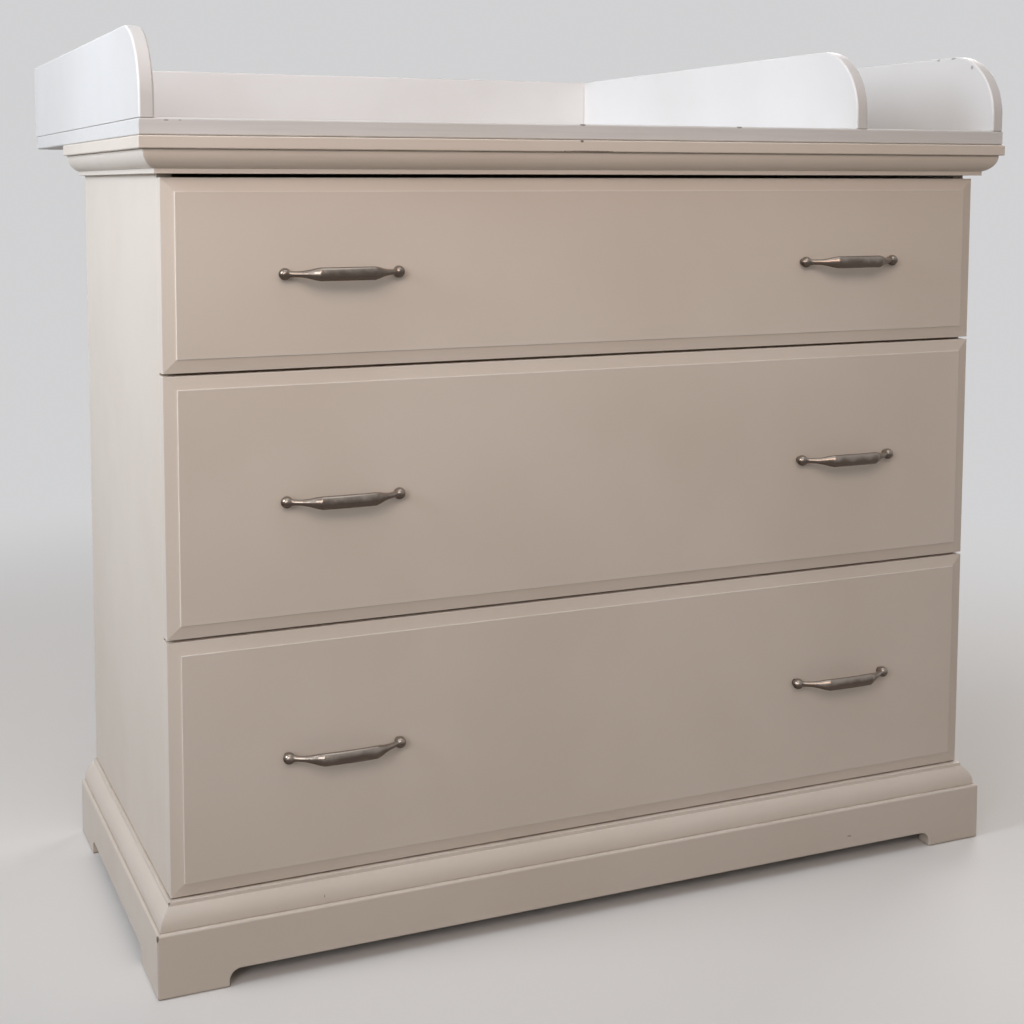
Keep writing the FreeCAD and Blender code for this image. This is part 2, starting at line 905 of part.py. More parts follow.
def bolt_places(height):
    """Bolt centres of a drawer's two handles, as (x, z)."""
    reach = S.handle_spacing / 2
    return [(handle_middle * side + reach * end, height) for side in (-1, 1) for end in (-1, 1)]


def drawer_side(label, side, low, height):
    """A box side with a groove for the bottom inside and one for the runner outside."""
    body = new_body(label)
    thick = S.box_side_thick
    tall = height - S.box_rise - S.box_head_room
    groove_low = S.box_bottom_rise
    groove_high = groove_low + S.box_bottom_thick + S.groove_play
    section = sketch_on(body, "XZ_Plane")
    outline(section, [(x * -side, z) for x, z in (
        (ZERO, ZERO),
        (thick, ZERO),
        (thick, groove_low),
        (thick - S.groove_depth, groove_low),
        (thick - S.groove_depth, groove_high),
        (thick, groove_high),
        (thick, tall),
        (ZERO, tall),
    )])
    pad(body, section, box_length, against_normal=True)
    channel = sketch_on(body, "YZ_Plane")
    half = S.runner_height / 2 + S.runner_play
    rectangle(channel, S.runner_start - S.runner_play, S.runner_rise - half,
              box_length, S.runner_rise + half)
    pocket(body, channel, S.runner_groove_depth, along_normal=side < 0)
    round_edges(body, S.box_edge_round, lambda edge: (
        near(middle_of(edge).z, tall.number) and edge.BoundBox.YLength > box_length.number / 2))
    place(body, box_half * side, ZERO, low + S.box_rise)
    return sub_part(body, label)


def drawer_box_boards(name, low, height):
    box_low = low + S.box_rise
    tall = height - S.box_rise - S.box_head_room
    panel_low = box_low + S.box_bottom_rise
    panel_half = box_inner_half + S.groove_depth - S.groove_play
    back_low = panel_low + S.box_bottom_thick
    board(f"drawer_{name}_bottom",
          (-panel_half, S.groove_play - S.groove_depth, panel_low),
          (panel_half, box_length, back_low))
    board(f"drawer_{name}_back",
          (-box_inner_half, box_length - S.box_back_thick, back_low),
          (box_inner_half, box_length, box_low + tall))


# ------------------------------------------------------------------ handles

# shares of the sloping leg's length, each with its share of the swelling from neck to grip
LEG_STATIONS = ((0, 0.35), (0.24, 0.04), (0.46, 0.12), (0.66, 0.4), (0.84, 0.78))
# shares of the grip's half length, each with how much of the bow is there
GRIP_STATIONS = ((0.5, 0.75), (0, 1), (-0.5, 0.75))


def sketch_across(body, side, along, out, turn):
    """An empty sketch square to the handle's path at one of its stations."""
    sketch = sketch_on(body, "YZ_Plane", along)
    lean = Rotation(Vector(0, side, 0), turn.number)
    sketch.AttachmentOffset = Placement(Vector(-out.number, 0, along.number), lean)
    bind(sketch, "AttachmentOffset.Base.x", -out)
    bind(sketch, "AttachmentOffset.Rotation.Angle", turn)
    return sketch


def oval(sketch, half_height, half_depth):
    top = Vector(0, half_height.number, 0)
    flank = Vector(half_depth.number, 0, 0)
    edge = sketch.addGeometry(Part.Ellipse(top, flank, Vector(0, 0, 0)), False)
    sketch.exposeInternalGeometry(edge)
    long_axis = edge + 1
    short_axis = edge + 2
    sketch.addConstraint(Sketcher.Constraint("Coincident", edge, 3, -1, 1))
    sketch.addConstraint(Sketcher.Constraint("PointOnObject", long_axis, 1, -2))
    for axis, size in ((long_axis, half_height * 2), (short_axis, half_depth * 2)):
        index = sketch.addConstraint(Sketcher.Constraint("Distance", axis, size.number))
        sketch.setExpression(f"Constraints[{index}]", size.formula)


def loft(body, sections):
    feature = body.newObject("PartDesign::AdditiveLoft", "loft")
    feature.Profile = sections[0]
    feature.Sections = sections[1:]
    feature.Ruled = True
    doc.recompute()
    if not body.Shape.Volume > 0:
        raise RuntimeError(f"a loft in {body.Label} came out inside out")


def handle_leg(body, side, knee_sketch):
    """A sloping leg that tapers out of the ball foot to a neck and swells to the grip."""
    half_span = S.handle_spacing / 2
    lean = slope_angle(S.handle_rise, S.handle_knee)
    leg = []
    for share, swell in LEG_STATIONS:
        along = (half_span - S.handle_knee * share) * side
        section = sketch_across(body, side, along, S.handle_ball_height + S.handle_rise * share, lean)
        oval(section, S.handle_neck + (S.grip_half_height - S.handle_neck) * swell,
             S.handle_neck + (S.grip_half_depth - S.handle_neck) * swell)
        leg.append(section)
    leg.append(knee_sketch)
    loft(body, leg if side > 0 else leg[::-1])


def handle(label, middle_x, middle_z):
    """A bow handle: two ball feet, two legs that swell outwards and a bowed grip."""
    body = new_body(label)
    half_span = S.handle_spacing / 2
    knee = half_span - S.handle_knee
    knee_out = S.handle_ball_height + S.handle_rise
    mitre = slope_angle(S.handle_rise, S.handle_knee) / 2
    knees = {side: sketch_across(body, side, knee * side, knee_out, mitre) for side in (-1, 1)}
    bows = [sketch_across(body, 1, knee * share, knee_out + S.handle_bow * bow, ZERO)
            for share, bow in GRIP_STATIONS]
    grip = [knees[1], *bows, knees[-1]]
    for section in grip:
        oval(section, S.grip_half_height, S.grip_half_depth)
    loft(body, grip)
    for side in (-1, 1):
        handle_leg(body, side, knees[side])
        foot = sketch_on(body, "XY_Plane")
        foot.AttachmentOffset = Placement(Vector(half_span.number * side, 0, 0), Rotation())
        bind(foot, "AttachmentOffset.Base.x", half_span * side)
        ball_foot_outline(foot)
        turned(body, foot)
    bores = sketch_on(body, "XZ_Plane")
    circles(bores, [(-half_span, ZERO), (half_span, ZERO)], S.bolt_radius + S.screw_hole_play)
    pocket(body, bores, S.handle_bore_depth, along_normal=True)
    place(body, middle_x, -front_thick, middle_z)
    return sub_part(body, label)


def ball_foot_outline(sketch):
    """Half the section of a ball on a short stem, beside the axis it is turned about."""
    ball = S.handle_ball
    stem = S.handle_stem
    stem_top = S.handle_ball_height - root(ball * ball - stem * stem)
    outline(sketch, (
        (ZERO, ZERO),
        (ZERO, -S.handle_ball_height - ball),
        (stem, -stem_top),
        (stem, ZERO),
    ), {1: (ZERO, -S.handle_ball_height)})


# ----------------------------------------------------------------- assembly


def build_carcass():
    for name, side in LEFT_AND_RIGHT:
        side_panel(f"side_panel_{name}", side)
    carcass_boards()
    corner_blocks()
    dresser_top()
    mouldings()
    plinth_front()
    for name, side in LEFT_AND_RIGHT:
        plinth_side(f"plinth_{name}", side)


def build_runners():
    shapes = countersunk_screw("runner_screw", S.runner_screw_length)
    screws = []
    for name, side in LEFT_AND_RIGHT:
        places = []
        for (drawer, low, height), middle in zip(DRAWERS, runner_heights()):
            runner(f"runner_{drawer}_{name}", side, middle)
            head = (inner_half - runner_width) * side
            places += [(head, y, middle) for y in runner_screw_places()]
        screws += copies_of(shapes, f"runner_screw_{name}", places, Vector(side, 0, 0))
    group("runner_screws", screws)


def build_changing_top():
    changing_board()
    left, divider, right = panel_middles()
    topper_panel("topper_side_left", left, topper_back_face)
    topper_panel("topper_divider", divider, board_back)
    topper_panel("topper_side_right", right, topper_back_face)
    topper_back()
    group("fixing_brackets", [fixing_bracket(f"bracket_{name}", side) for name, side in LEFT_AND_RIGHT])
    long_screw = countersunk_screw("topper_screw", S.topper_screw_length)
    places = [(x, y, board_low) for x in panel_middles() for y in topper_screw_rows()]
    group("topper_screws", copies_of(long_screw, "topper_screw", places, Vector(0, 0, 1)))
    short_screw = round_head_screw("bracket_screw", S.screw_radius, S.screw_head_radius,
                                   S.bracket_screw_length)
    under = board_low - S.bracket_thick
    behind = S.body_depth + S.bracket_thick
    upward = [(bracket_middle(side), bracket_screw_depth(), under) for side in (-1, 1)]
    forward = [(bracket_middle(side), behind, bracket_screw_height()) for side in (-1, 1)]
    group("bracket_screws", copies_of(short_screw, "bracket_screw_up", upward, Vector(0, 0, 1))
          + copies_of(short_screw, "bracket_screw_in", forward, Vector(0, -1, 0)))


def build_drawers():
    bolt_length = front_thick + S.handle_bore_depth - S.bolt_tip_play
    bolt = round_head_screw("handle_bolt", S.bolt_radius, S.bolt_head_radius, bolt_length)
    for name, low, height in DRAWERS:
        drawer_front(f"drawer_{name}_front", low, height)
        drawer_box_boards(name, low, height)
        for hand, side in LEFT_AND_RIGHT:
            drawer_side(f"drawer_{name}_side_{hand}", side, low, height)
            handle(f"handle_{name}_{hand}", handle_middle * side, low + height / 2)
        places = [(x, ZERO, z) for x, z in bolt_places(low + height / 2)]
        group(f"handle_bolts_{name}",
              copies_of(bolt, f"handle_bolt_{name}", places, Vector(0, -1, 0)))


def write_parts():
    """Checks the whole document, then writes one file for each sub-part."""
    doc.recompute()
    for thing in doc.Objects:
        if "Invalid" in thing.State or "Error" in thing.State:
            raise RuntimeError(f"{thing.Name} did not compute: {thing.State}")
    for thing in parts:
        if thing.Shape.isNull() or not thing.Shape.isValid() or not thing.Shape.Volume > 0:
            raise RuntimeError(f"{thing.Label} has no valid solid")
    os.makedirs("parts", exist_ok=True)
    for thing in parts:
        thing.Shape.exportStep(f"parts/{thing.Label}.step")
    print(len(parts), "sub-parts written")


build_carcass()
build_runners()
build_changing_top()
build_drawers()
write_parts()
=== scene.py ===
import math

import bpy
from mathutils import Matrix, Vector


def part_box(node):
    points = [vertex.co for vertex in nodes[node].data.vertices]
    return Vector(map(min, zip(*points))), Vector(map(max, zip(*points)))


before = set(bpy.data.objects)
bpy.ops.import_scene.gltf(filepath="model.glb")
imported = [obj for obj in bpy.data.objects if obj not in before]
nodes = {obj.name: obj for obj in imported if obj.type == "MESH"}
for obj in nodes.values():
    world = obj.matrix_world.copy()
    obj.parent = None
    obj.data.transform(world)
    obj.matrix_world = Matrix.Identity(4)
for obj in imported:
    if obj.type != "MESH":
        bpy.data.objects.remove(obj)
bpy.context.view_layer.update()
scene = bpy.context.scene

# base colours, linear
CREAM = (0.765, 0.697, 0.630)
WHITE = (0.740, 0.738, 0.745)
# dark colours laid into joints and inner corners: partly settled dust, partly painted shade
CREAM_DUST_AND_SHADE = (0.34, 0.255, 0.185)
WHITE_DUST_AND_SHADE = (0.46, 0.43, 0.40)
PINE = (0.50, 0.335, 0.175)
PINE_DARK = (0.34, 0.195, 0.085)
BEECH = (0.42, 0.25, 0.12)
BEECH_DARK = (0.27, 0.145, 0.06)
HARDBOARD = (0.31, 0.20, 0.11)
BARE_EDGE = (0.13, 0.095, 0.070)
# pewter: dark patina that also stands as painted shade on downward faces, and a paler metal for
# painted light on upward faces and rubbed arrises
PATINA_AND_SHADE = (0.120, 0.092, 0.074)
PEWTER_LIT_AND_RUBBED = (0.400, 0.350, 0.305)
PEWTER_SPECK = (0.070, 0.054, 0.044)
ZINC_PALE = (0.62, 0.63, 0.64)
ZINC_GREY = (0.46, 0.47, 0.49)
ZINC_DULL = (0.36, 0.35, 0.33)

# eased arrises: widths in metres, and the angle from which an edge is eased, in degrees
PLINTH_ARRIS = 0.0010
BOARD_ARRIS = 0.0008
TOP_ARRIS = 0.0006
MOULDING_ARRIS = 0.0005
FRONT_ARRIS = 0.0004
SHEET_ARRIS = 0.0003
METAL_ARRIS = 0.0002
EASED_FROM = 35.0
FRONT_EASED_FROM = 10.0

# mesh cleaning: metres, and degrees between faces that count as one
WELD_WITHIN = 0.00001
FLAT_WITHIN = 0.3

# how far rubbing with painted highlight reaches from an edge, and dust with painted shade from a
# joint, in metres
RUB_AND_HIGHLIGHT_REACH = 0.0022
DUST_AND_SHADE_REACH = 0.007
PEWTER_RUB_REACH = 0.0012

# where a chip's rim starts and ends, in its radii plus the ragged noise
CHIP_RIM = (1.30, 1.60)

# stage: colours, and distances in metres
BACKDROP = (0.64, 0.64, 0.65)
FLOOR_SEEN = (0.90, 0.895, 0.89)
FLOOR_BOUNCE = (0.28, 0.24, 0.205)
FLOOR_RADIUS = 14.0
FLOOR_GAP = 0.0006
FADE_FROM = 0.7
FADE_TO = 2.3
SOFT_LIGHT = (1.0, 0.94, 0.88)
SOFT_STRENGTH = 0.18

# name, place, aim, width, height, watts, colour, spread in degrees
LAMPS = (
    ("key_left", (-2.3, -0.35, 1.75), (-0.45, -0.05, 1.15), 1.2, 1.2, 9.5,
     (0.84, 0.92, 1.0), 80.0),
    ("overhead", (-0.3, -0.7, 4.2), (0.0, 0.0, 0.5), 3.6, 3.0, 30.5,
     (0.96, 0.98, 1.0), 180.0),
    ("front_fill", (-1.3, -2.6, 2.3), (-0.35, -0.3, 1.50), 2.2, 1.4, 7.9,
     (1.0, 0.79, 0.68), 72.0),
    ("tall_window", (-2.3, -2.4, 1.35), (-0.3, -0.35, 0.85), 0.7, 1.3, 4.3,
     (0.97, 0.98, 1.0), 90.0),
    ("behind_right", (2.8, 1.8, 2.4), (0.1, 0.0, 0.6), 1.6, 1.2, 32.0,
     (1.0, 0.97, 0.94), 180.0),
)

# camera: metres, radians below level and about the vertical, millimetres
CAMERA_PLACE = (-0.8603, -1.9216, 0.8537)
CAMERA_DOWN = 0.0855
CAMERA_TURN = -0.3947
FOCAL_LENGTH = 54.877
SENSOR_WIDTH = 36.0
LENS_SHIFT = (0.06, -0.19)
FAR_CLIP = 60.0


# ------------------------------------------------------------ node helpers


class Graph:
    """The node tree of a material or world, with short calls for the nodes used here."""

    def __init__(self, owner):
        owner.use_nodes = True
        self.tree = owner.node_tree
        self.tree.nodes.clear()

    def add(self, kind, **settings):
        node = self.tree.nodes.new(kind)
        for name, value in settings.items():
            setattr(node, name, value)
        return node

    def link(self, source, target):
        self.tree.links.new(source, target)

    def put(self, socket, value):
        if isinstance(value, bpy.types.NodeSocket):
            self.link(value, socket)
        else:
            socket.default_value = value

    def maths(self, operation, first, second, clamp=False):
        node = self.add("ShaderNodeMath", operation=operation, use_clamp=clamp)
        self.put(node.inputs[0], first)
        self.put(node.inputs[1], second)
        return node.outputs[0]

    def plain_rays(self):
        """1 for rays of the camera, gloss and glass, which see the backdrop as it is."""
        ray = self.add("ShaderNodeLightPath")
        seen = ray.outputs["Is Camera Ray"]
        for kind in ("Is Glossy Ray", "Is Transmission Ray"):
            seen = self.maths("ADD", seen, ray.outputs[kind], clamp=True)
        return seen


class Finish(Graph):
    """A new material: its Principled shader, and patterns in the object's own space."""

    def __init__(self, name):
        self.material = bpy.data.materials.new(name)
        super().__init__(self.material)
        self.out = self.add("ShaderNodeOutputMaterial")
        self.shader = self.add("ShaderNodeBsdfPrincipled")
        self.link(self.shader.outputs["BSDF"], self.out.inputs["Surface"])
        self.where = self.add("ShaderNodeTexCoord").outputs["Object"]

    def stretched(self, scale):
        node = self.add("ShaderNodeMapping")
        self.link(self.where, node.inputs["Vector"])
        node.inputs["Scale"].default_value = scale
        return node.outputs["Vector"]

    def noise(self, scale, detail=3.0, rough=0.5, vector=None, distortion=0.0):
        node = self.add("ShaderNodeTexNoise")
        self.put(node.inputs["Vector"], vector or self.where)
        node.inputs["Scale"].default_value = scale
        node.inputs["Detail"].default_value = detail
        node.inputs["Roughness"].default_value = rough
        node.inputs["Distortion"].default_value = distortion
        return node.outputs["Fac"]

    def remap(self, value, low, high, to_low, to_high, smooth=False):
        node = self.add("ShaderNodeMapRange")
        node.interpolation_type = "SMOOTHSTEP" if smooth else "LINEAR"
        self.put(node.inputs["Value"], value)
        for name, number in zip(("From Min", "From Max", "To Min", "To Max"),
                                (low, high, to_low, to_high)):
            node.inputs[name].default_value = number
        return node.outputs["Result"]

    def mix(self, amount, first, second):
        node = self.add("ShaderNodeMix", data_type="RGBA")
        self.put(node.inputs["Factor"], amount)
        for socket, value in ((node.inputs["A"], first), (node.inputs["B"], second)):
            if isinstance(value, tuple) and len(value) == 3:
                value = (*value, 1.0)
            self.put(socket, value)
        return node.outputs["Result"]

    def bump(self, height, strength, distance, normal=None):
        node = self.add("ShaderNodeBump")
        self.put(node.inputs["Height"], height)
        node.inputs["Strength"].default_value = strength
        node.inputs["Distance"].default_value = distance
        if normal is not None:
            self.put(node.inputs["Normal"], normal)
        return node.outputs["Normal"]

    def edges(self, radius, low, high):
        """1 along arrises and 0 on flat faces."""
        bevel = self.add("ShaderNodeBevel", samples=6)
        bevel.inputs["Radius"].default_value = radius
        plain = self.add("ShaderNodeNewGeometry").outputs["Normal"]
        dot = self.add("ShaderNodeVectorMath", operation="DOT_PRODUCT")
        self.link(bevel.outputs["Normal"], dot.inputs[0])
        self.link(plain, dot.inputs[1])
        return self.remap(dot.outputs["Value"], low, high, 1.0, 0.0)

    def crevices(self, reach, low, high):
        """1 deep in joints and inner corners, which get darkened: partly settled dust and old
        polish, partly painted shade.
        """
        open_air = self.add("ShaderNodeAmbientOcclusion", samples=8)
        open_air.inputs["Distance"].default_value = reach
        return self.remap(open_air.outputs["AO"], low, high, 1.0, 0.0)

    def near(self, point, radii, ragged):
        """1 inside an oval about a point of the object, with a ragged rim."""
        gap = self.add("ShaderNodeVectorMath", operation="SUBTRACT")
        self.link(self.where, gap.inputs[0])
        gap.inputs[1].default_value = point
        share = self.add("ShaderNodeVectorMath", operation="DIVIDE")
        self.link(gap.outputs["Vector"], share.inputs[0])
        share.inputs[1].default_value = radii
        reach = self.add("ShaderNodeVectorMath", operation="LENGTH")
        self.link(share.outputs["Vector"], reach.inputs[0])
        rim = self.maths("ADD", reach.outputs["Value"], ragged)
        return self.remap(rim, *CHIP_RIM, 1.0, 0.0)


# --------------------------------------------------------------- materials


def shaded(colour, share):
    """A colour made darker or paler by a share."""
    return tuple(part * share for part in colour)


def painted(name, colour, settled_dust_and_shade, chips=(), grain=False, dust_and_shade_share=1.0):
    """Satin paint rolled on board: uneven tone, arrises rubbed and painted paler as a highlight,
    joints darkened by settled dust and painted shade, a few chips.
    """
    g = Finish(name)
    broad = g.noise(3.2, 3.0, 0.55)
    fine = g.noise(38.0, 4.0, 0.6)
    deep = tuple(part * share for part, share in zip(colour, (0.955, 0.945, 0.925)))
    tone = g.mix(g.remap(broad, 0.3, 0.7, 0.0, 1.0, True), deep, shaded(colour, 1.02))
    smudge = g.remap(fine, 0.62, 0.80, 0.0, 0.16, True)
    tone = g.mix(smudge, tone, shaded(colour, 0.86))
    uneven = g.remap(fine, 0.35, 0.65, 0.45, 1.0)
    # arrises painted paler: partly rubbed paint showing the undercoat, partly painted highlight
    rub_and_highlight = g.maths("MULTIPLY", g.edges(RUB_AND_HIGHLIGHT_REACH, 0.90, 0.995), uneven)
    undercoat_and_highlight = tuple(0.35 * part + 0.58 for part in colour)
    tone = g.mix(g.maths("MULTIPLY", rub_and_highlight, 0.8), tone, undercoat_and_highlight)
    if grain:
        drawn = g.noise(7.0, 4.0, 0.65, g.stretched((1.0, 26.0, 38.0)), 0.4)
        streaks = g.remap(drawn, 0.42, 0.66, 0.0, 0.40, True)
        tone = g.mix(streaks, tone, shaded(colour, 0.88))
    patchy = g.remap(fine, 0.3, 0.6, 0.45 * dust_and_shade_share, 0.9 * dust_and_shade_share)
    # joints and inner corners darkened by ambient occlusion: partly settled dust, partly painted
    # shade
    dust_and_shade = g.maths("MULTIPLY", g.crevices(DUST_AND_SHADE_REACH, 0.30, 0.72), patchy)
    tone = g.mix(dust_and_shade, tone, settled_dust_and_shade)
    ragged = g.noise(420.0, 2.0, 0.6)
    for point, radii, depth in chips:
        chip = g.maths("MULTIPLY", g.near(point, radii, ragged), depth)
        tone = g.mix(chip, tone, BARE_EDGE)
    g.put(g.shader.inputs["Base Color"], tone)
    sheen = g.remap(g.noise(16.0, 3.0, 0.6), 0.3, 0.7, 0.36, 0.50)
    g.put(g.shader.inputs["Roughness"], sheen)
    g.shader.inputs["Specular IOR Level"].default_value = 0.45
    stipple = g.noise(900.0, 2.0, 0.5)
    strokes = g.noise(55.0, 3.0, 0.5, g.stretched((0.25, 1.0, 1.6)))
    soft = g.bump(strokes, 0.10, 0.0006)
    g.put(g.shader.inputs["Normal"], g.bump(stipple, 0.12, 0.0002, soft))
    return g.material


def timber(name, light, dark, along, rings=34.0, sheen=0.55):
    """Planed wood: growth rings drawn out along the board, fine pores, a few darker streaks."""
    g = Finish(name)
    drawn = g.stretched(tuple(0.06 if axis == along else 1.0 for axis in "XYZ"))
    wave = g.add("ShaderNodeTexWave", wave_type="RINGS", rings_direction=along)
    g.link(drawn, wave.inputs["Vector"])
    wave.inputs["Scale"].default_value = rings
    wave.inputs["Distortion"].default_value = 6.0
    wave.inputs["Detail"].default_value = 3.0
    wave.inputs["Detail Scale"].default_value = 1.4
    long_pores = g.stretched(tuple(0.03 if axis == along else 1.0 for axis in "XYZ"))
    pores = g.noise(420.0, 3.0, 0.6, long_pores)
    streaks = g.noise(22.0, 3.0, 0.6, drawn)
    tone = g.mix(g.remap(wave.outputs["Fac"], 0.25, 0.95, 0.0, 0.75, True), light, dark)
    between = tuple((pale + deep) * 0.45 for pale, deep in zip(light, dark))
    tone = g.mix(g.remap(streaks, 0.45, 0.75, 0.0, 0.5, True), tone, between)
    tone = g.mix(g.remap(pores, 0.55, 0.75, 0.0, 0.35), tone, dark)
    g.put(g.shader.inputs["Base Color"], tone)
    g.put(g.shader.inputs["Roughness"], g.remap(pores, 0.3, 0.7, sheen - 0.08, sheen + 0.10))
    g.shader.inputs["Specular IOR Level"].default_value = 0.35
    ridge = g.bump(wave.outputs["Fac"], 0.12, 0.0005)
    g.put(g.shader.inputs["Normal"], g.bump(pores, 0.25, 0.0003, ridge))
    return g.material


def pressed_board(name, colour):
    """Hardboard: dark matted fibres with a faint flow."""
    g = Finish(name)
    fibres = g.noise(260.0, 5.0, 0.7, distortion=1.2)
    clouds = g.noise(9.0, 3.0, 0.5)
    matted = g.remap(fibres, 0.3, 0.7, 0.0, 1.0)
    tone = g.mix(matted, shaded(colour, 0.72), shaded(colour, 1.25))
    tone = g.mix(g.remap(clouds, 0.35, 0.7, 0.0, 0.4, True), tone, shaded(colour, 1.45))
    g.put(g.shader.inputs["Base Color"], tone)
    g.put(g.shader.inputs["Roughness"], g.remap(fibres, 0.3, 0.7, 0.48, 0.66))
    g.put(g.shader.inputs["Normal"], g.bump(fibres, 0.18, 0.0003))
    return g.material


def pewter(name):
    """Antiqued pewter: dark patina left dark below as painted shade, metal painted paler above
    as painted light, and rubbed paler on the arrises.
    """
    g = Finish(name)
    patina = g.noise(70.0, 3.0, 0.55)
    specks = g.noise(650.0, 2.0, 0.5)
    # upward faces painted paler and downward faces left dark, as if lit from above: painted
    # light and shade
    normal = g.add("ShaderNodeSeparateXYZ")
    g.link(g.add("ShaderNodeNewGeometry").outputs["Normal"], normal.inputs["Vector"])
    uneven = g.maths("ADD", normal.outputs["Z"], g.remap(patina, 0.3, 0.7, -0.18, 0.18))
    painted_light_above = g.remap(uneven, -0.15, 0.65, 0.0, 0.8, True)
    rubbed = g.maths("MULTIPLY", g.edges(PEWTER_RUB_REACH, 0.82, 0.99), 0.6)
    lit_above_and_rubbed = g.maths("MAXIMUM", painted_light_above, rubbed)
    tone = g.mix(lit_above_and_rubbed, PATINA_AND_SHADE, PEWTER_LIT_AND_RUBBED)
    tone = g.mix(g.remap(specks, 0.62, 0.80, 0.0, 0.25), tone, PEWTER_SPECK)
    g.put(g.shader.inputs["Base Color"], tone)
    g.shader.inputs["Metallic"].default_value = 1.0
    g.put(g.shader.inputs["Roughness"], g.remap(patina, 0.3, 0.7, 0.19, 0.27))
    cast = g.bump(g.noise(180.0, 2.0, 0.5), 0.06, 0.0002)
    g.put(g.shader.inputs["Normal"], g.bump(specks, 0.05, 0.0001, cast))
    return g.material


def zinc(name):
    """Zinc plate: bluish spangle with dull patches."""
    g = Finish(name)
    spangle = g.add("ShaderNodeTexVoronoi")
    g.link(g.where, spangle.inputs["Vector"])
    spangle.inputs["Scale"].default_value = 420.0
    dull = g.noise(80.0, 3.0, 0.6)
    crystals = g.remap(spangle.outputs["Distance"], 0.0, 0.8, 0.0, 1.0)
    tone = g.mix(crystals, ZINC_PALE, ZINC_GREY)
    tone = g.mix(g.remap(dull, 0.55, 0.75, 0.0, 0.5, True), tone, ZINC_DULL)
    g.put(g.shader.inputs["Base Color"], tone)
    g.shader.inputs["Metallic"].default_value = 1.0
    g.put(g.shader.inputs["Roughness"], g.remap(dull, 0.3, 0.7, 0.26, 0.46))
    g.put(g.shader.inputs["Normal"], g.bump(spangle.outputs["Distance"], 0.08, 0.0002))
    return g.material


# --------------------------------------------------- dressing the CAD nodes


def dress(names, material, arris=0.0, eased_from=EASED_FROM):
    """Gives nodes their finish and eases their arrises as sanding and paint do."""
    for name in names:
        piece = nodes[name]
        piece.data.materials.clear()
        piece.data.materials.append(material)
        weld = piece.modifiers.new("weld", "WELD")
        weld.merge_threshold = WELD_WITHIN
        flat = piece.modifiers.new("whole_faces", "DECIMATE")
        flat.decimate_type = "DISSOLVE"
        flat.angle_limit = math.radians(FLAT_WITHIN)
        if arris:
            ease = piece.modifiers.new("arris", "BEVEL")
            ease.width = arris
            ease.segments = 2
            ease.limit_method = "ANGLE"
            ease.angle_limit = math.radians(eased_from)
        piece.modifiers.new("normals", "WEIGHTED_NORMAL")


def front_spot(node, x, below_top, behind_face=0.0):
    """A point on a node's front, at x across the object and so far below the node's top."""
    low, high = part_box(node)
    return (x, low[1] + behind_face, high[2] - below_top)


def flank_spot(node, behind_front, below_top):
    """A point on the left side of an upright board."""
    low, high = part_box(node)
    return (low[0], low[1] + behind_front, high[2] - below_top)


# knocks and scrapes in the paint: where, how far each way, how deep
CREAM_CHIPS = (
    (front_spot("dresser_top", -0.052, 0.0010), (0.0020, 0.0030, 0.0016), 0.9),
    (front_spot("dresser_top", -0.041, 0.0124), (0.0340, 0.0025, 0.0009), 0.7),
    (front_spot("plinth_front", -0.5400, 0.0030), (0.0022, 0.0040, 0.0042), 0.85),
    (front_spot("base_moulding_front", -0.5245, 0.0010, 0.0110), (0.0022, 0.0022, 0.0020), 0.85),
    (front_spot("base_moulding_front", -0.3546, 0.0185, 0.0050), (0.0012, 0.0050, 0.0034), 0.6),
    (front_spot("plinth_front", 0.3370, 0.0360), (0.0036, 0.0030, 0.0012), 0.45),
)
WHITE_CHIPS = (
    (front_spot("changing_board", -0.049, 0.0008), (0.0036, 0.0030, 0.0014), 0.8),
    (front_spot("changing_board", 0.156, 0.0006), (0.0042, 0.0030, 0.0014), 0.8),
    (front_spot("changing_board", -0.518, 0.0028), (0.0026, 0.0030, 0.0010), 0.45),
    (front_spot("changing_board", -0.504, 0.0026), (0.0016, 0.0030, 0.0008), 0.35),
    (flank_spot("topper_side_right", 0.105, 0.0016), (0.0040, 0.0034, 0.0022), 0.45),
    (flank_spot("topper_side_right", 0.076, 0.0016), (0.0040, 0.0044, 0.0014), 0.55),
    (flank_spot("topper_side_right", 0.041, 0.0155), (0.0040, 0.0024, 0.0028), 0.5),
)

cream = painted("antique_cream_paint", CREAM, CREAM_DUST_AND_SHADE, CREAM_CHIPS)
# drawer fronts: much less darkening in their joints, so less dust and less painted shade
cream_less_dust_and_shade = painted("antique_cream_paint_less_dust_and_shade", CREAM, CREAM_DUST_AND_SHADE, dust_and_shade_share=0.2)
cool_white = painted("cool_white_paint", WHITE, WHITE_DUST_AND_SHADE, WHITE_CHIPS)
board_white = painted("cool_white_paint_over_grain", WHITE, WHITE_DUST_AND_SHADE, WHITE_CHIPS, grain=True)
pine = timber("planed_pine", PINE, PINE_DARK, "X")
pine_deep = timber("planed_pine_along_the_sides", PINE, PINE_DARK, "Y")
beech = timber("waxed_beech", BEECH, BEECH_DARK, "Y", rings=70.0, sheen=0.40)
fibre = pressed_board("smooth_hardboard", HARDBOARD)
handles_metal = pewter("antique_pewter")
plated = zinc("zinc_plate")

sides = ("left", "right")
drawers = ("top", "middle", "bottom")

